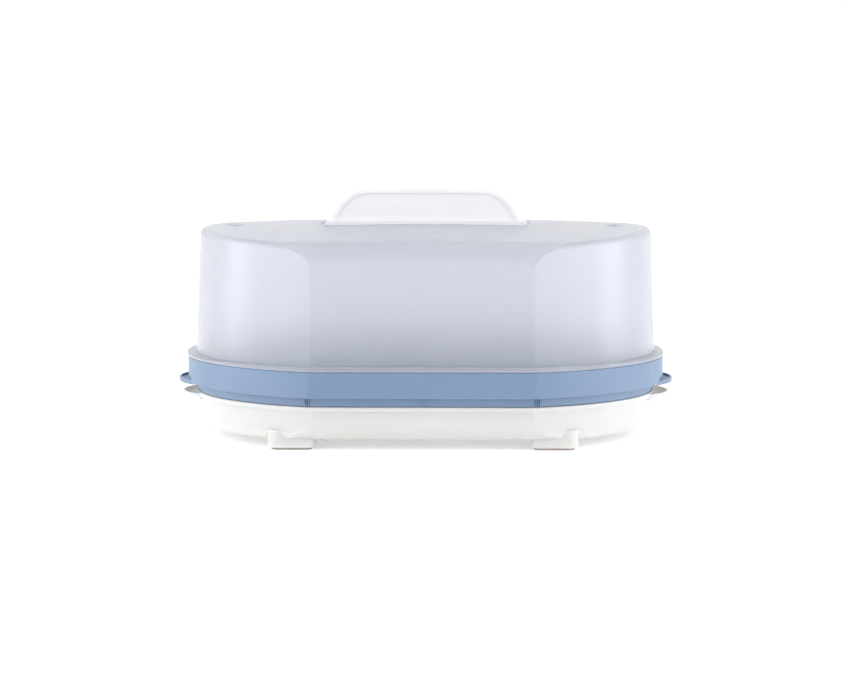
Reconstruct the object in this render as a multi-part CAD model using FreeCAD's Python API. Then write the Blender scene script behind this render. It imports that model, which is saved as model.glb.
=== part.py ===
import FreeCAD, Part
import math
import os

from FreeCAD import Vector

# A steam sterilizer for baby bottles, of the kind that is heated in a microwave oven: a white water tray on
# four feet, a blue basket ring with a perforated grid in it, and a translucent lid with a carrying handle.
# Seen from above every part has one outline: two round end lobes, cut by a flat front and a flat back.
# Millimetres. +X runs along the length, +Z is up, and the origin is under the middle, where the part stands.

# The shared outline. An inset moves it inwards all round.
LOBE_RADIUS = 111.0
LOBE_CENTRE = 28.0
HALF_DEPTH = 105.0
CREASE_RADIUS = 1.0
SEAM_ROUND = 0.6

# Lengths that cutters and blocks run past the faces that they shape
REACH = 170.0
SECTION_DROP = 30.0
PAST = 1.0
FAR_PAST = 5.0
TOUCH = 1e-6

# Heights
PAD_TOP = 1.0
BASE_UNDERSIDE = 5.5
BASE_RIM_LOW = 23.2
BASE_RIM_TOP = 25.6
LIFT_GAP = 0.2
SKIRT_LOW = 31.0
SKIRT_TOP = 45.8
FLANGE_LOW = SKIRT_TOP + LIFT_GAP
FLANGE_TOP = 48.6
ROOF_TOP = 123.2
HANDLE_TOP = 144.0

# Water tray
RIM_INSET = 5.0
BASE_INSET_TOP = 6.2
BASE_INSET_LOW = 7.0
BASE_WALL = 2.2
BASE_SHOULDER = 14.0
BASE_EDGE = 5.0
FOOT_X = 74.5
FOOT_Y = 78.0
FOOT_LENGTH = 27.0
FOOT_DEPTH = 24.0
FOOT_CORNER = 6.0
FOOT_CHAMFER = 1.2
FOOT_SUNK = 6.0
PAD_MARGIN = 2.2
BOSS_X = -51.0
BOSS_Y = -74.0
BOSS_RADIUS = 9.0
BOSS_DROP = 1.3
BOSS_EDGE = 1.0

# Lifting ears
EAR_HALF_CHORD = 27.0
BASKET_EAR_TIP = 144.5
BASE_EAR_TIP = 142.5
BASKET_EAR_LOW = 30.0
BASKET_EAR_TOP = 32.8
BASE_EAR_LOW = 21.6
BASE_EAR_TOP = 24.8
EAR_PLATE = 1.6
EAR_LIP = 1.4
EAR_EDGE = 0.6

# Basket ring
SHEET = 2.2
BAND_INSET = 5.6
SPIGOT_INSET = BASE_INSET_TOP + BASE_WALL + 0.5
SPIGOT_LOW = 19.6
RIB_WIDTH = 0.5
RIB_PITCH = 1.15
RIB_PROUD = 0.45
RIB_COUNT = 4
RIB_PLACES = (-64.5, 0.0, 64.5)

# Perforated grid
GRID_GAP = 0.2
GRID_THICKNESS = 2.0
GRID_BORDER = 12.0
SLOT_LENGTH = 20.0
SLOT_WIDTH = 3.6
SLOT_PITCH_X = 25.0
SLOT_PITCH_Y = 8.5
CRADLE_THICKNESS = 1.8
CRADLE_HEIGHT = 3.4
CRADLE_DIP = 2.2
CRADLE_BOTTLE_RADIUS = 32.0
CRADLE_BOTTLE_PITCH = 66.0
CRADLE_HALF_SPAN = 92.0
CRADLE_PLACES = (-62.5, -12.5, 12.5, 62.5)

# Lid
LID_WALL = 2.2
LID_INSET_LOW = 4.7
LID_INSET_TOP = 7.7
LID_SHOULDER = 15.0
LID_EDGE = 4.0
CROWN_ACROSS = 780.0
CROWN_ALONG = 2700.0
LOBE_RISE = 0.01
ROOF_MARGIN = 5.0
FLANGE_OVERHANG = 0.5
FLANGE_EDGE = 1.5
LIP_CLEARANCE = 0.4
LIP_THICKNESS = 1.8
LIP_DEPTH = 4.0
VENT_X = 110.0
VENT_RADIUS = 2.75
VENT_BOSS_RADIUS = 5.0
VENT_BOSS_RISE = 0.7

# Finger well in the roof round the handle
WELL_HALF_LENGTH = 61.0
WELL_LOBE_RADIUS = 195.0
WELL_HALF_DEPTH = 72.0
WELL_DROP = 1.0

# Handle
HANDLE_HALF_TOP = 45.3
HANDLE_HALF_BASE = 57.4
HANDLE_CORNER = 22.5
HANDLE_THICK_TOP = 14.0
HANDLE_THICK_BASE = 18.0
HANDLE_EDGE = 1.8
HANDLE_BAND = 3.8
HANDLE_WALL = 1.8
HANDLE_PANEL_RECESS = 1.0
HANDLE_SEAT_GAP = 0.05
FOOT_FLANGE_WIDTH = 1.6
FOOT_FLANGE_HEIGHT = 2.0
HOOK_X = 36.0
HOOK_LENGTH = 10.0
HOOK_THICKNESS = 1.8
HOOK_DROP = 4.6
HOOK_BARB = 1.0
HOOK_BARB_HEIGHT = 1.2
HOOK_INSET = 0.2
HOOK_CLEARANCE = 0.3


def box(x_low, x_high, y_low, y_high, z_low, z_high):
    size = (x_high - x_low, y_high - y_low, z_high - z_low)
    return Part.makeBox(*size, Vector(x_low, y_low, z_low))


def lobe(side, z_low, z_high, inset_low, inset_high):
    """One round end, which narrows or widens with height."""
    centre = Vector(side * LOBE_CENTRE, 0, z_low)
    radius_low = LOBE_RADIUS - inset_low
    radius_high = LOBE_RADIUS - inset_high
    if inset_low == inset_high:
        return Part.makeCylinder(radius_low, z_high - z_low, centre)
    return Part.makeCone(radius_low, radius_high, z_high - z_low, centre)


def slab(z_low, z_high, inset_low, inset_high):
    """A long bar whose front and back faces carry the outline's two flats."""
    low = HALF_DEPTH - inset_low
    high = HALF_DEPTH - inset_high
    corners = ((-low, z_low), (low, z_low), (high, z_high), (-high, z_high), (-low, z_low))
    section = Part.Face(Part.makePolygon([Vector(-REACH, y, z) for y, z in corners]))
    return section.extrude(Vector(2 * REACH, 0, 0))


def prism(z_low, z_high, inset, crease=CREASE_RADIUS):
    """A block with the shared outline and upright walls, its four creases rounded."""
    ends = [lobe(side, z_low, z_high, inset, inset) for side in (-1, 1)]
    block = slab(z_low, z_high, inset, inset).common(ends[0].fuse(ends[1]))
    upright = [e for e in block.Edges if abs(e.BoundBox.ZLength - (z_high - z_low)) < TOUCH
               and e.BoundBox.XLength < TOUCH and abs(e.BoundBox.XMin) > LOBE_CENTRE]
    return block.makeFillet(crease, upright)


def soften(block, z, radius=SEAM_ROUND):
    """Rounds the edges that lie all round a block at height z."""
    return block.makeFillet(radius, [e for e in block.Edges if e.BoundBox.ZLength < TOUCH
                                     and abs(e.BoundBox.ZMin - z) < TOUCH])


def crown(top, sunk):
    """A solid whose top is the roof's gently domed surface, moved down squarely to itself by sunk."""
    across = CROWN_ACROSS - sunk
    along = CROWN_ALONG - sunk
    crest = top - sunk
    shoulder = crest - across + math.sqrt(across ** 2 - REACH ** 2)
    arc = Part.Arc(Vector(0, -REACH, shoulder), Vector(0, 0, crest), Vector(0, REACH, shoulder)).toShape()
    ends = [Vector(0, REACH, shoulder), Vector(0, REACH, -REACH), Vector(0, -REACH, -REACH),
            Vector(0, -REACH, shoulder)]
    section = Part.Face(Part.Wire([arc] + Part.makePolygon(ends).Edges))
    half_turn = math.degrees(math.asin(REACH / along))
    pivot = Vector(0, 0, crest - along)
    section.rotate(pivot, Vector(0, 1, 0), -half_turn)
    return section.revolve(pivot, Vector(0, 1, 0), 2 * half_turn)


def rounded_block(height, inset_open, inset_closed, shoulder, edge):
    """A block that is open at z = 0 and has a flat top, with the outline's inset growing upwards.

    The flats turn into the top over the large radius shoulder, and the lobes over the small radius edge.
    """
    bar = slab(0, height, inset_open, inset_closed)
    long_edges = [e for e in bar.Edges if e.BoundBox.XLength > 1.9 * REACH and e.BoundBox.ZMin > height / 2]
    bar = bar.makeFillet(shoulder, long_edges)
    ends = [lobe(side, 0, height, inset_open, inset_closed) for side in (-1, 1)]
    ends = [end.makeFillet(edge, [e for e in end.Edges if e.BoundBox.ZMin > height / 2]) for end in ends]
    return bar.common(ends[0].fuse(ends[1]))


def domed_section(height, inset_open, inset_closed, shoulder, crown_radius):
    """The section across a domed bar: drafted sides, shoulder arcs and a crown arc, all tangent."""
    foot = Vector(0, HALF_DEPTH - inset_open, 0)
    up = Vector(0, inset_open - inset_closed, height).normalize()
    inward = Vector(0, -up.z, up.y)
    crown_centre = Vector(0, 0, height - crown_radius)
    start = foot + inward * shoulder - crown_centre
    along = start.dot(up)
    rise = math.sqrt(along ** 2 - start.dot(start) + (crown_radius - shoulder) ** 2) - along
    centre = foot + inward * shoulder + up * rise
    outward = (centre - crown_centre).normalize()
    wall_top = centre - inward * shoulder
    crown_end = centre + outward * shoulder
    middle = centre + (outward - inward).normalize() * shoulder
    low = foot - up * SECTION_DROP

    def mirrored(point):
        return Vector(0, -point.y, point.z)

    edges = [
        Part.LineSegment(low, wall_top).toShape(),
        Part.Arc(wall_top, middle, crown_end).toShape(),
        Part.Arc(crown_end, Vector(0, 0, height), mirrored(crown_end)).toShape(),
        Part.Arc(mirrored(crown_end), mirrored(middle), mirrored(wall_top)).toShape(),
        Part.LineSegment(mirrored(wall_top), mirrored(low)).toShape(),
        Part.LineSegment(mirrored(low), low).toShape(),
    ]
    return Part.Face(Part.Wire(edges))


def domed_block(height, inset_open, inset_closed, shoulder, edge, sunk):
    """A block like rounded_block whose top is gently domed along its length and across it."""
    along = CROWN_ALONG - sunk
    section = domed_section(height, inset_open, inset_closed, shoulder, CROWN_ACROSS - sunk)
    half_turn = math.degrees(math.asin(REACH / along))
    pivot = Vector(0, 0, height - along)
    section.rotate(pivot, Vector(0, 1, 0), -half_turn)
    bar = section.revolve(pivot, Vector(0, 1, 0), 2 * half_turn)
    roof = crown(height + sunk + LOBE_RISE, sunk)
    inset_above = inset_closed + (inset_closed - inset_open) * ROOF_MARGIN / height
    ends = []
    for side in (-1, 1):
        end = lobe(side, 0, height + ROOF_MARGIN, inset_open, inset_above).common(roof)
        end = end.makeFillet(edge, [e for e in end.Edges if e.BoundBox.ZMin > height / 2])
        ends.append(bar.common(end))
    return ends[0].fuse(ends[1])


def ear(side, tip, inset, z_low, z_high):
    """A D-shaped lifting ear: a thin plate with a raised lip along its curved edge."""
    chord_x = LOBE_CENTRE + math.sqrt((LOBE_RADIUS - inset) ** 2 - EAR_HALF_CHORD ** 2)
    bulge = tip - chord_x
    radius = (EAR_HALF_CHORD ** 2 + bulge ** 2) / (2 * bulge)
    centre = Vector(side * (tip - radius), 0, z_low)
    disc = Part.makeCylinder(radius, z_high - z_low, centre)
    outer_edges = [e for e in disc.Edges if e.Closed]
    disc = disc.makeFillet(EAR_EDGE, outer_edges)
    dish = Part.makeCylinder(radius - EAR_LIP, z_high, centre + Vector(0, 0, EAR_PLATE))
    return disc.cut(dish).cut(prism(z_low - PAST, z_high + PAST, inset + PAST))


def rounded_pad(x, y, length, depth, corner, z_low, z_high, chamfer=0.0):
    """An upright block with rounded corners and a chamfer round its lower edge."""
    block = box(x - length / 2, x + length / 2, y - depth / 2, y + depth / 2, z_low, z_high)
    upright = [e for e in block.Edges if abs(e.BoundBox.ZLength - (z_high - z_low)) < TOUCH]
    block = block.makeFillet(corner, upright)
    if chamfer:
        block = block.makeChamfer(chamfer, [e for e in block.Edges if e.BoundBox.ZMax < z_low + TOUCH])
    return block


def foot_places():
    names = {(-1, -1): "front_left", (1, -1): "front_right", (-1, 1): "back_left", (1, 1): "back_right"}
    return {name: (sx * FOOT_X, sy * FOOT_Y) for (sx, sy), name in names.items()}


def base_skin(sunk):
    """The water tray's bowl as a solid block, its wall and floor moved inwards by sunk."""
    height = BASE_RIM_TOP - BASE_UNDERSIDE - sunk
    block = rounded_block(height, BASE_INSET_TOP + sunk, BASE_INSET_LOW + sunk,
                          BASE_SHOULDER - sunk, BASE_EDGE - sunk)
    block.translate(Vector(0, 0, BASE_RIM_TOP))
    return block.mirror(Vector(0, 0, BASE_RIM_TOP), Vector(0, 0, 1))


def base_tray():
    outer = base_skin(0.0)
    rim = soften(prism(BASE_RIM_LOW, BASE_RIM_TOP, RIM_INSET), BASE_RIM_TOP)
    body = outer.fuse(rim)
    foot_top = BASE_UNDERSIDE + FOOT_SUNK
    for x, y in foot_places().values():
        foot = rounded_pad(x, y, FOOT_LENGTH, FOOT_DEPTH, FOOT_CORNER, PAD_TOP, foot_top, FOOT_CHAMFER)
        body = body.fuse(foot)
    boss_low = BASE_UNDERSIDE - BOSS_DROP
    boss = Part.makeCylinder(BOSS_RADIUS, BASE_WALL + BOSS_DROP, Vector(BOSS_X, BOSS_Y, boss_low))
    boss = boss.makeFillet(BOSS_EDGE, [e for e in boss.Edges if e.BoundBox.ZMax < boss_low + TOUCH])
    body = body.fuse(boss)
    for side in (-1, 1):
        body = body.fuse(ear(side, BASE_EAR_TIP, RIM_INSET, BASE_EAR_LOW, BASE_EAR_TOP))
    return body.cut(base_skin(BASE_WALL)).removeSplitter()


def grip_ribs(band_low):
    """Small upright ribs in groups along the front and the back of the band."""
    ribs = []
    for place in RIB_PLACES:
        for number in range(RIB_COUNT):
            x = place + (number - (RIB_COUNT - 1) / 2) * RIB_PITCH
            for side in (-1, 1):
                face = side * (HALF_DEPTH - BAND_INSET)
                y_ends = sorted((face - side * PAST, face + side * RIB_PROUD))
                ribs.append(box(x - RIB_WIDTH / 2, x + RIB_WIDTH / 2, *y_ends,
                                band_low + SEAM_ROUND / 2, SKIRT_LOW + SEAM_ROUND))
    return ribs


def basket_ring():
    band_low = BASE_RIM_TOP + LIFT_GAP
    steps = ((SPIGOT_LOW, band_low, SPIGOT_INSET),
             (band_low, SKIRT_LOW, BAND_INSET),
             (SKIRT_LOW, SKIRT_TOP, 0.0))
    spigot, band, skirt = [prism(*step) for step in steps]
    skirt = soften(soften(skirt, SKIRT_LOW), SKIRT_TOP)
    body = spigot.fuse([soften(band, band_low), skirt])
    for side in (-1, 1):
        body = body.fuse(ear(side, BASKET_EAR_TIP, 0.0, BASKET_EAR_LOW, BASKET_EAR_TOP))
    previous_top = SPIGOT_LOW - PAST
    for z_low, z_high, inset in steps:
        top = z_high + SHEET if z_high < SKIRT_TOP else z_high + PAST
        body = body.cut(prism(previous_top, top, inset + SHEET))
        previous_top = top
    return body.fuse(grip_ribs(band_low)).removeSplitter()


def slot_cutter(x, y, z_low, z_high):
    half = (SLOT_LENGTH - SLOT_WIDTH) / 2
    radius = SLOT_WIDTH / 2
    middle = box(x - half, x + half, y - radius, y + radius, z_low, z_high)
    ends = [Part.makeCylinder(radius, z_high - z_low, Vector(x + side * half, y, z_low)) for side in (-1, 1)]
    return middle.fuse(ends).removeSplitter()


def inside_outline(x, y, inset):
    lobe = math.hypot(max(abs(x) - LOBE_CENTRE, 0.0), y) <= LOBE_RADIUS - inset
    return lobe and abs(y) <= HALF_DEPTH - inset


def cradle_rib(x, floor):
    """An upright rib across the grid, with a shallow dip for each bottle that lies on it."""
    half = CRADLE_THICKNESS / 2
    rib = box(x - half, x + half, -CRADLE_HALF_SPAN, CRADLE_HALF_SPAN, floor - GRID_THICKNESS / 2,
              floor + CRADLE_HEIGHT)
    axis_z = floor + CRADLE_HEIGHT - CRADLE_DIP + CRADLE_BOTTLE_RADIUS
    for number in (-1, 0, 1):
        start = Vector(x - CRADLE_THICKNESS, number * CRADLE_BOTTLE_PITCH, axis_z)
        rib = rib.cut(Part.makeCylinder(CRADLE_BOTTLE_RADIUS, 2 * CRADLE_THICKNESS, start, Vector(1, 0, 0)))
    return rib


def steam_grid():
    floor_low = SKIRT_LOW + SHEET + GRID_GAP
    floor = floor_low + GRID_THICKNESS
    plate = prism(floor_low, floor, SHEET + GRID_GAP)
    slots = []
    columns = int(2 * LOBE_RADIUS / SLOT_PITCH_X)
    rows = int(HALF_DEPTH / SLOT_PITCH_Y)
    for column in range(-columns, columns + 1):
        for row in range(-rows, rows + 1):
            x = column * SLOT_PITCH_X
            y = row * SLOT_PITCH_Y
            ends_inside = [inside_outline(x + s * SLOT_LENGTH / 2, y, GRID_BORDER) for s in (-1, 1)]
            if all(ends_inside):
                slots.append(slot_cutter(x, y, floor_low - PAST, floor + PAST))
    plate = plate.cut(Part.makeCompound(slots))
    for x in CRADLE_PLACES:
        plate = plate.fuse(cradle_rib(x, floor))
    return plate


def well(depth_surface, growth, z_high):
    """The sunken place round the handle, from a domed floor up to z_high."""
    radius = WELL_LOBE_RADIUS + growth
    offset = WELL_LOBE_RADIUS - WELL_HALF_LENGTH
    z_low = (FLANGE_TOP + ROOF_TOP) / 2
    left = Part.makeCylinder(radius, z_high - z_low, Vector(offset, 0, z_low))
    right = Part.makeCylinder(radius, z_high - z_low, Vector(-offset, 0, z_low))
    y_half = WELL_HALF_DEPTH + growth
    block = left.common(right).common(box(-REACH, REACH, -y_half, y_half, z_low, z_high))
    return block.cut(depth_surface)


def vent(side):
    """A steam vent near one end of the roof: the raised boss, and the hole through it."""
    roof = ROOF_TOP - VENT_X ** 2 / (2 * CROWN_ALONG)
    top = roof + VENT_BOSS_RISE
    low = roof - LID_WALL / 2
    boss = Part.makeCylinder(VENT_BOSS_RADIUS, top - low, Vector(side * VENT_X, 0, low))
    boss = boss.makeFillet(VENT_BOSS_RISE / 2, [e for e in boss.Edges if e.BoundBox.ZMin > top - TOUCH])
    hole = Part.makeCylinder(VENT_RADIUS, 2 * FAR_PAST, Vector(side * VENT_X, 0, roof - FAR_PAST))
    return boss, hole


def hook_place(side_x, side_y, growth):
    outer = HANDLE_THICK_BASE / 2 - HOOK_INSET
    y_ends = sorted((side_y * (outer + growth), side_y * (outer - HOOK_THICKNESS - growth)))
    x = side_x * HOOK_X
    half = HOOK_LENGTH / 2 + growth
    return x - half, x + half, y_ends[0], y_ends[1]


def lid_skin(sunk):
    """The dome as a solid block, its wall and roof moved inwards by sunk."""
    height = ROOF_TOP - FLANGE_LOW - sunk
    block = domed_block(height, LID_INSET_LOW + sunk, LID_INSET_TOP + sunk, LID_SHOULDER - sunk,
                        LID_EDGE - sunk, sunk)
    block.translate(Vector(0, 0, FLANGE_LOW))
    return block


def lid_dome():
    outer = lid_skin(0.0)
    inner = lid_skin(LID_WALL)
    floor_out = crown(ROOF_TOP, WELL_DROP)
    floor_in = crown(ROOF_TOP, WELL_DROP + LID_WALL)
    outer = outer.cut(well(floor_out, 0.0, ROOF_TOP + FAR_PAST))
    inner = inner.cut(well(floor_in, LID_WALL, ROOF_TOP + FAR_PAST))
    flange = prism(FLANGE_LOW, FLANGE_TOP, -FLANGE_OVERHANG)
    flange = soften(soften(flange, FLANGE_TOP, FLANGE_EDGE), FLANGE_LOW)
    lip_inset = SHEET + LIP_CLEARANCE
    lip = prism(FLANGE_LOW - LIP_DEPTH, FLANGE_LOW, lip_inset)
    body = outer.fuse([flange, lip])
    passage = prism(FLANGE_LOW - LIP_DEPTH - PAST, FLANGE_LOW, lip_inset + LIP_THICKNESS)
    body = body.cut(inner.fuse(passage))
    for side in (-1, 1):
        boss, hole = vent(side)
        body = body.fuse(boss).cut(hole)
        for side_y in (-1, 1):
            place = hook_place(side, side_y, HOOK_CLEARANCE)
            body = body.cut(box(*place, (FLANGE_TOP + ROOF_TOP) / 2, ROOF_TOP + FAR_PAST))
    return body.removeSplitter()


def handle_block(inset_top, inset_side, inset_face, z_low, half_top=HANDLE_HALF_TOP):
    """The handle's arch, as the part that its front outline and its end outline have in common."""
    z_high = HANDLE_TOP - inset_top
    seat = ROOF_TOP - WELL_DROP
    flare = (HANDLE_HALF_BASE - HANDLE_HALF_TOP) / (HANDLE_TOP - seat)
    taper = (HANDLE_THICK_BASE - HANDLE_THICK_TOP) / 2 / (HANDLE_TOP - seat)

    def half_length(z):
        return half_top - inset_side + flare * (HANDLE_TOP - z)

    def half_thickness(z):
        return HANDLE_THICK_TOP / 2 - inset_face + taper * (HANDLE_TOP - z)

    front = [Vector(sx * half_length(z), -REACH, z)
             for sx, z in ((-1, z_low), (1, z_low), (1, z_high), (-1, z_high), (-1, z_low))]
    arch = Part.Face(Part.makePolygon(front)).extrude(Vector(0, 2 * REACH, 0))
    corners = [e for e in arch.Edges if e.BoundBox.YLength > REACH and e.BoundBox.ZMin > z_high - TOUCH]
    arch = arch.makeFillet(HANDLE_CORNER - inset_top, corners)
    end = [Vector(-REACH, sy * half_thickness(z), z)
           for sy, z in ((-1, z_low), (1, z_low), (1, z_high), (-1, z_high), (-1, z_low))]
    bar = Part.Face(Part.makePolygon(end)).extrude(Vector(2 * REACH, 0, 0))
    return arch.common(bar)


def side_panels(foot_top, seat_low):
    """What is cut from the handle's two faces, so that each has a sunken panel inside a raised band."""
    panel = handle_block(HANDLE_BAND, HANDLE_BAND, -HANDLE_THICK_BASE, foot_top)
    core = handle_block(-PAST, -PAST, HANDLE_PANEL_RECESS, seat_low)
    return panel.cut(core)


def snap_hook(side_x, side_y, top):
    """A hook that goes through the roof, with a barb that catches under it."""
    roof_underside = ROOF_TOP - WELL_DROP - LID_WALL
    low = roof_underside - HOOK_DROP
    catch = roof_underside - HOOK_BARB
    x_low, x_high, y_low, y_high = hook_place(side_x, side_y, 0.0)
    face = y_high if side_y > 0 else y_low
    point = face + side_y * HOOK_BARB
    corners = ((face, low), (point, catch - HOOK_BARB_HEIGHT), (point, catch), (face, catch), (face, low))
    barb = Part.Face(Part.makePolygon([Vector(x_low, y, z) for y, z in corners]))
    return box(x_low, x_high, y_low, y_high, low, top).fuse(barb.extrude(Vector(x_high - x_low, 0, 0)))


def lid_handle():
    seat = ROOF_TOP - WELL_DROP
    seat_low = seat - 2 * FAR_PAST
    foot_top = seat + FOOT_FLANGE_HEIGHT
    block = handle_block(0.0, 0.0, 0.0, seat_low)
    outline = [e for e in block.Edges if e.BoundBox.YLength < HANDLE_THICK_TOP / 2
               and (e.BoundBox.ZMin > seat_low + TOUCH or e.BoundBox.ZLength > HANDLE_CORNER / 2)]
    body = block.makeFillet(HANDLE_EDGE, outline)
    foot = handle_block(0.0, -FOOT_FLANGE_WIDTH, -FOOT_FLANGE_WIDTH, seat_low)
    foot = foot.cut(box(-REACH, REACH, -REACH, REACH, foot_top, HANDLE_TOP + PAST))
    body = body.fuse(foot).cut(side_panels(foot_top, seat_low))
    hollow = handle_block(HANDLE_BAND, HANDLE_BAND, HANDLE_PANEL_RECESS + HANDLE_WALL, seat_low - PAST)
    body = body.cut(hollow).cut(crown(ROOF_TOP, WELL_DROP - HANDLE_SEAT_GAP))
    for side_x in (-1, 1):
        for side_y in (-1, 1):
            body = body.fuse(snap_hook(side_x, side_y, foot_top))
    return body.removeSplitter()


def foot_pads():
    pads = {}
    for name, (x, y) in foot_places().items():
        length = FOOT_LENGTH - 2 * PAD_MARGIN
        depth = FOOT_DEPTH - 2 * PAD_MARGIN
        pads["foot_pad_" + name] = rounded_pad(x, y, length, depth, FOOT_CORNER - PAD_MARGIN, 0.0, PAD_TOP)
    return pads


def main():
    os.makedirs("parts", exist_ok=True)
    nodes = {
        "base_tray": base_tray(),
        "basket_ring": basket_ring(),
        "steam_grid": steam_grid(),
        "lid_dome": lid_dome(),
        "lid_handle": lid_handle(),
    }
    nodes.update(foot_pads())
    for name, shape in nodes.items():
        shape.exportStep(f"parts/{name}.step")
        solids = len(shape.Solids)
        print(f"{name}: {solids} solid(s), valid {shape.isValid()}, volume {shape.Volume:.0f} mm3")


main()
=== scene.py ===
import math

import bpy
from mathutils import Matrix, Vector

# Looks for a steam sterilizer: a white water tray, a satin blue basket and a hazy translucent lid, on a white
# studio floor. Lengths are in metres. The CAD nodes carry the shapes. This script adds materials, the floor,
# lights and a camera.

# Camera: a long lens, a little above the object and a touch to its right.
CAMERA_DISTANCE = 2.227
CAMERA_HEIGHT = 0.282
CAMERA_TURN = math.radians(1.0)
CAMERA_AIM = Vector((-0.0009, 0.0, 0.0479))
CAMERA_LENS = 162.0
SENSOR_WIDTH = 36.0
CAMERA_SEES_TO = 200.0

# Studio: the sky fades from the horizon's glow to the zenith's between two heights of the view direction.
HORIZON_GLOW = 1.03
ZENITH_GLOW = 0.76
GLOW_FADES_FROM = 0.35
GLOW_FADES_TO = 0.9
FLOOR_HALF = 3.0
FLOOR_GLOW = 0.3
FLOOR_NOISE = 3.0
FLOOR_ROUGHNESS = 0.9
FLOOR_GLOSS = 0.1

# Lights: one large panel above, and a narrow and a wide one on each side. Angles are from straight in front.
KEY_PLACE = (0.0, 0.1, 1.7)
KEY_AIM = (0.0, 0.0, 0.0)
KEY_WIDTH = 2.4
KEY_TALL = 2.0
KEY_POWER = 5.0
SIDE_POWER = 5.5
SIDE_ANGLE = math.radians(96.0)
SIDE_WIDTH = 0.6
FILL_POWER = 4.5
FILL_ANGLE = math.radians(62.0)
FILL_WIDTH = 1.1
LIGHT_DISTANCE = 1.5
LIGHT_HEIGHT = 0.4
LIGHT_TALL = 1.0
LIGHT_AIM = (0.0, 0.0, 0.07)

# Colours, as linear light
WHITE_PLASTIC = (0.67, 0.67, 0.66)
WHITE_PLASTIC_WARM = (0.66, 0.655, 0.64)
BLUE_PLASTIC = (0.14, 0.225, 0.365)
BLUE_PLASTIC_DEEP = (0.132, 0.213, 0.35)
LID_TINT = (0.89, 0.91, 0.965)
LID_HAZE = (0.90, 0.915, 0.98)
HANDLE_TINT = (0.99, 0.99, 1.0)
HANDLE_HAZE = (0.97, 0.972, 1.0)
# Dark tan for the thin strips under the feet, with a dusty tone that varies at random
FOOT_STRIP_TAN = (0.30, 0.25, 0.21)
FOOT_STRIP_TAN_DUSTY = (0.36, 0.31, 0.27)
FLOOR_COLOUR = (0.95, 0.95, 0.95)
FLOOR_COLOUR_LIGHT = (0.96, 0.96, 0.96)

# Noise stays near its middle, so only its middle range drives a number or a colour.
NOISE_LOW = 0.3
NOISE_HIGH = 0.7
COLOUR_LOW = 0.35
COLOUR_HIGH = 0.65

# Surface detail: noise scales are per metre, heights are bump distances in metres.
CLOUD_NOISE = 18.0
GRAIN_NOISE = 1200.0
GRAIN_HEIGHT = 0.00003
WAVE_NOISE = 40.0
SATIN_NOISE = 140.0
WAVE_HEIGHT = 0.0002
WAVE_STRENGTH = 0.03
HAZY_CLOUD_NOISE = 14.0
HAZY_WAVE_NOISE = 30.0
HAZY_WAVE_STRENGTH = 0.02
HAZY_SATIN_NOISE = 90.0
CLOUD_DEPTH = 0.02
DUST_NOISE = 220.0
PAD_GRAIN_NOISE = 3200.0
PAD_GRAIN_HEIGHT = 0.00006
PAD_GRAIN_STRENGTH = 0.5
PAD_ROUGHNESS = (0.6, 0.75)

# How light passes through the plastics
MOULDED_IOR = 1.49
HAZY_IOR = 1.45
GLOW_REACH = 0.005
GLOW_REACH_BY_COLOUR = (1.0, 0.9, 0.8)
COAT_SHARE = 0.6
COAT_ROUGHNESS = 0.2


class NodeMaterial:
    """A material's node tree, with short calls for the nodes that these plastics share."""

    def __init__(self, name):
        self.material = bpy.data.materials.new(name)
        self.material.use_nodes = True
        self.tree = self.material.node_tree
        self.tree.nodes.clear()
        self.output = self.add("ShaderNodeOutputMaterial")
        self.place = self.add("ShaderNodeTexCoord").outputs["Object"]

    def add(self, kind, **inputs):
        node = self.tree.nodes.new(kind)
        for name, value in inputs.items():
            node.inputs[name.replace("_", " ")].default_value = value
        return node

    def link(self, source, target):
        self.tree.links.new(source, target)

    def noise(self, scale, detail=2.0, roughness=0.5):
        node = self.add("ShaderNodeTexNoise", Scale=scale, Detail=detail, Roughness=roughness)
        self.link(self.place, node.inputs["Vector"])
        return node.outputs["Fac"]

    def between(self, factor, low, high):
        """Maps the factor's middle range onto low to high."""
        node = self.add("ShaderNodeMapRange")
        node.inputs["From Min"].default_value = NOISE_LOW
        node.inputs["From Max"].default_value = NOISE_HIGH
        node.inputs["To Min"].default_value = low
        node.inputs["To Max"].default_value = high
        self.link(factor, node.inputs["Value"])
        return node.outputs["Result"]

    def colours(self, factor, first, second):
        node = self.tree.nodes.new("ShaderNodeValToRGB")
        node.color_ramp.elements[0].position = COLOUR_LOW
        node.color_ramp.elements[0].color = (*first, 1.0)
        node.color_ramp.elements[1].position = COLOUR_HIGH
        node.color_ramp.elements[1].color = (*second, 1.0)
        self.link(factor, node.inputs["Fac"])
        return node.outputs["Color"]

    def bumps(self, layers):
        """Chains bump nodes, one for each (height, distance in metres, strength)."""
        normal = None
        for height, distance, strength in layers:
            node = self.add("ShaderNodeBump", Distance=distance, Strength=strength)
            self.link(height, node.inputs["Height"])
            if normal is not None:
                self.link(normal, node.inputs["Normal"])
            normal = node.outputs["Normal"]
        return normal

    def principled(self, colour=None, roughness=None, normal=None, **inputs):
        node = self.add("ShaderNodeBsdfPrincipled", **inputs)
        for name, source in (("Base Color", colour), ("Roughness", roughness), ("Normal", normal)):
            if source is not None:
                self.link(source, node.inputs[name])
        return node

    def mix(self, factor, first, second):
        """Mixes two shaders. The node's two shader sockets share a name, so they are found by number."""
        node = self.add("ShaderNodeMixShader")
        if isinstance(factor, float):
            node.inputs["Fac"].default_value = factor
        else:
            self.link(factor, node.inputs["Fac"])
        self.link(first, node.inputs[1])
        self.link(second, node.inputs[2])
        return node.outputs[0]

    def finish(self, shader):
        self.link(shader, self.output.inputs["Surface"])
        return self.material


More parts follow.
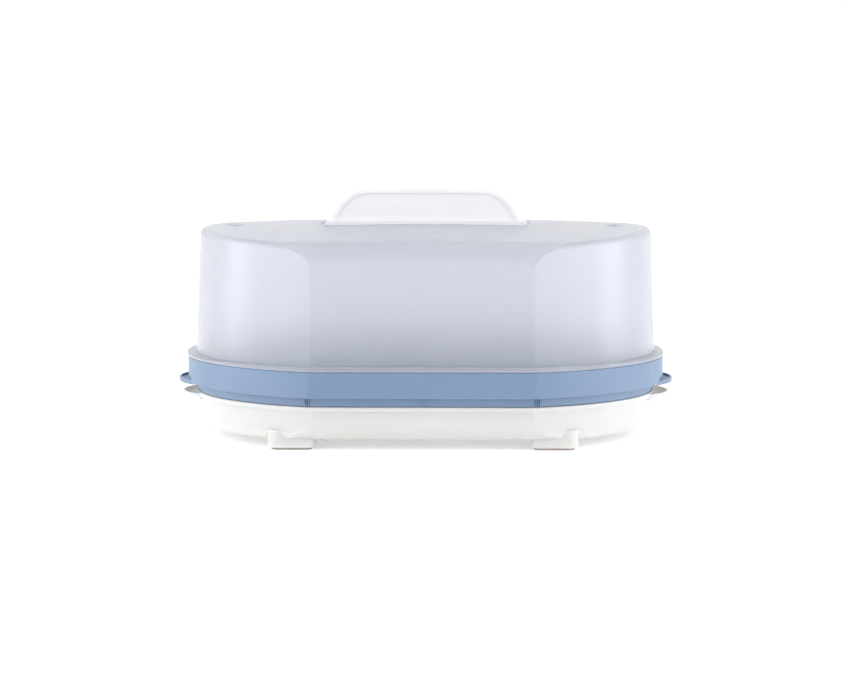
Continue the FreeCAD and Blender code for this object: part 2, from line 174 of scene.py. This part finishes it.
def moulded_plastic(name, light, deep, roughness, grain_strength, glow, gloss):
    """Moulded polypropylene: slow waves from shrinkage, a fine grain, and light that spreads inside it."""
    m = NodeMaterial(name)
    cloud = m.noise(CLOUD_NOISE, 3.0)
    grain = m.noise(GRAIN_NOISE, 2.0)
    wave = m.noise(WAVE_NOISE, 1.0)
    normal = m.bumps(((wave, WAVE_HEIGHT, WAVE_STRENGTH), (grain, GRAIN_HEIGHT, grain_strength)))
    shader = m.principled(
        m.colours(cloud, deep, light),
        m.between(m.noise(SATIN_NOISE, 4.0), roughness - 0.04, roughness + 0.05),
        normal,
        IOR=MOULDED_IOR,
        Subsurface_Weight=glow,
        Subsurface_Scale=GLOW_REACH,
    )
    shader.inputs["Subsurface Radius"].default_value = GLOW_REACH_BY_COLOUR
    shader.inputs["Specular IOR Level"].default_value = gloss
    return m.finish(shader.outputs[0])


def hazy_plastic(name, tint, haze, clear_roughness, milkiness, front_share):
    """Translucent natural polypropylene: a rough, clear body with milky scatter and faint flow clouds."""
    m = NodeMaterial(name)
    wave = m.noise(HAZY_WAVE_NOISE, 1.0)
    normal = m.bumps(((wave, WAVE_HEIGHT, HAZY_WAVE_STRENGTH),))
    satin = m.between(m.noise(HAZY_SATIN_NOISE, 3.0), clear_roughness - 0.03, clear_roughness + 0.04)
    clear = m.principled(
        None,
        satin,
        normal,
        IOR=HAZY_IOR,
        Transmission_Weight=1.0,
        Coat_Weight=COAT_SHARE,
        Coat_Roughness=COAT_ROUGHNESS,
    )
    clear.inputs["Base Color"].default_value = (*tint, 1.0)
    back_lit = m.add("ShaderNodeBsdfTranslucent", Color=(*haze, 1.0))
    m.link(normal, back_lit.inputs["Normal"])
    front_lit = m.principled(None, satin, normal, IOR=HAZY_IOR)
    front_lit.inputs["Base Color"].default_value = (*haze, 1.0)
    milk = m.mix(front_share, back_lit.outputs[0], front_lit.outputs[0])
    cloud = m.between(m.noise(HAZY_CLOUD_NOISE, 3.0), milkiness - CLOUD_DEPTH, milkiness + CLOUD_DEPTH)
    return m.finish(m.mix(cloud, clear.outputs[0], milk))


def dark_tan_matt(name):
    """Matt dark tan for the thin strips under the feet, with a little dust."""
    m = NodeMaterial(name)
    dust = m.noise(DUST_NOISE, 4.0)
    normal = m.bumps(((m.noise(PAD_GRAIN_NOISE, 2.0), PAD_GRAIN_HEIGHT, PAD_GRAIN_STRENGTH),))
    colour = m.colours(dust, FOOT_STRIP_TAN, FOOT_STRIP_TAN_DUSTY)
    shader = m.principled(colour, m.between(dust, *PAD_ROUGHNESS), normal)
    return m.finish(shader.outputs[0])


def studio_white():
    """A matt white floor that glows a little, so that it stays white under the object's shade."""
    m = NodeMaterial("studio_floor")
    shader = m.principled(m.colours(m.noise(FLOOR_NOISE), FLOOR_COLOUR, FLOOR_COLOUR_LIGHT))
    shader.inputs["Roughness"].default_value = FLOOR_ROUGHNESS
    shader.inputs["Specular IOR Level"].default_value = FLOOR_GLOSS
    shader.inputs["Emission Color"].default_value = (1.0, 1.0, 1.0, 1.0)
    shader.inputs["Emission Strength"].default_value = FLOOR_GLOW
    return m.finish(shader.outputs[0])


def sky():
    """A white studio: bright all round at the height of the object, and dimmer overhead."""
    world = bpy.data.worlds.new("studio")
    world.use_nodes = True
    nodes = world.node_tree.nodes
    links = world.node_tree.links
    direction = nodes.new("ShaderNodeTexCoord")
    parts = nodes.new("ShaderNodeSeparateXYZ")
    fade = nodes.new("ShaderNodeMapRange")
    fade.inputs["From Min"].default_value = GLOW_FADES_FROM
    fade.inputs["From Max"].default_value = GLOW_FADES_TO
    fade.inputs["To Min"].default_value = HORIZON_GLOW
    fade.inputs["To Max"].default_value = ZENITH_GLOW
    links.new(direction.outputs["Generated"], parts.inputs["Vector"])
    links.new(parts.outputs["Z"], fade.inputs["Value"])
    nodes["Background"].inputs["Color"].default_value = (1.0, 1.0, 1.0, 1.0)
    links.new(fade.outputs["Result"], nodes["Background"].inputs["Strength"])
    bpy.context.scene.world = world


def dress(nodes):
    """Gives every CAD node its material."""
    white = moulded_plastic(
        "white_polypropylene",
        WHITE_PLASTIC,
        WHITE_PLASTIC_WARM,
        roughness=0.33,
        grain_strength=0.06,
        glow=0.9,
        gloss=0.5,
    )
    blue = moulded_plastic(
        "blue_polypropylene",
        BLUE_PLASTIC,
        BLUE_PLASTIC_DEEP,
        roughness=0.42,
        grain_strength=0.15,
        glow=0.2,
        gloss=1.0,
    )
    lid = hazy_plastic("hazy_lid", LID_TINT, LID_HAZE, clear_roughness=0.315, milkiness=0.3, front_share=0.5)
    handle = hazy_plastic(
        "hazy_handle", HANDLE_TINT, HANDLE_HAZE, clear_roughness=0.32, milkiness=0.96, front_share=0.95
    )
    pad = dark_tan_matt("foot_strip_tan")
    looks = {
        "base_tray": white,
        "basket_ring": blue,
        "steam_grid": blue,
        "lid_dome": lid,
        "lid_handle": handle,
    }
    for name, node in nodes.items():
        material = looks.get(name, pad)
        node.data.materials.clear()
        node.data.materials.append(material)


def aim(thing, target):
    thing.rotation_euler = (Vector(target) - thing.location).to_track_quat("-Z", "Y").to_euler()


def add_object(name, data, location):
    thing = bpy.data.objects.new(name, data)
    thing.location = location
    bpy.context.scene.collection.objects.link(thing)
    return thing


def soft_light(name, location, target, width, height, power):
    data = bpy.data.lights.new(name, "AREA")
    data.shape = "RECTANGLE"
    data.size = width
    data.size_y = height
    data.energy = power
    aim(add_object(name, data, location), target)


def studio():
    floor_mesh = bpy.data.meshes.new("floor")
    corners = [(x * FLOOR_HALF, y * FLOOR_HALF, 0.0) for x, y in ((-1, -1), (1, -1), (1, 1), (-1, 1))]
    floor_mesh.from_pydata(corners, [], [(0, 1, 2, 3)])
    floor_mesh.materials.append(studio_white())
    add_object("floor", floor_mesh, (0.0, 0.0, 0.0))
    sky()
    soft_light("key_above", KEY_PLACE, KEY_AIM, KEY_WIDTH, KEY_TALL, KEY_POWER)
    boxes = (
        ("side", SIDE_ANGLE, SIDE_WIDTH, SIDE_POWER),
        ("fill", FILL_ANGLE, FILL_WIDTH, FILL_POWER),
    )
    for side in (-1, 1):
        for kind, angle, width, power in boxes:
            across = side * LIGHT_DISTANCE * math.sin(angle)
            forward = -LIGHT_DISTANCE * math.cos(angle)
            soft_light(f"{kind}_{side}", (across, forward, LIGHT_HEIGHT), LIGHT_AIM, width, LIGHT_TALL, power)


def camera():
    data = bpy.data.cameras.new("camera")
    data.lens = CAMERA_LENS
    data.sensor_width = SENSOR_WIDTH
    data.clip_end = CAMERA_SEES_TO
    across = CAMERA_DISTANCE * math.sin(CAMERA_TURN)
    back = CAMERA_DISTANCE * math.cos(CAMERA_TURN)
    thing = add_object("camera", data, (across, -back, CAMERA_HEIGHT))
    aim(thing, CAMERA_AIM)
    scene = bpy.context.scene
    scene.camera = thing
    scene.view_settings.view_transform = "Standard"


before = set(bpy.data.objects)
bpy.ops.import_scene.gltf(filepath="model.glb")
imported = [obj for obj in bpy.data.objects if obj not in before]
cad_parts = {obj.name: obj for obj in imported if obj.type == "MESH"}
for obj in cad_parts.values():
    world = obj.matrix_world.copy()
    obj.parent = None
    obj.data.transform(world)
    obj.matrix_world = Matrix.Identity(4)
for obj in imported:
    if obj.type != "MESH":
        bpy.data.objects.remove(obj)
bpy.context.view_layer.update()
camera()
studio()
dress(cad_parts)
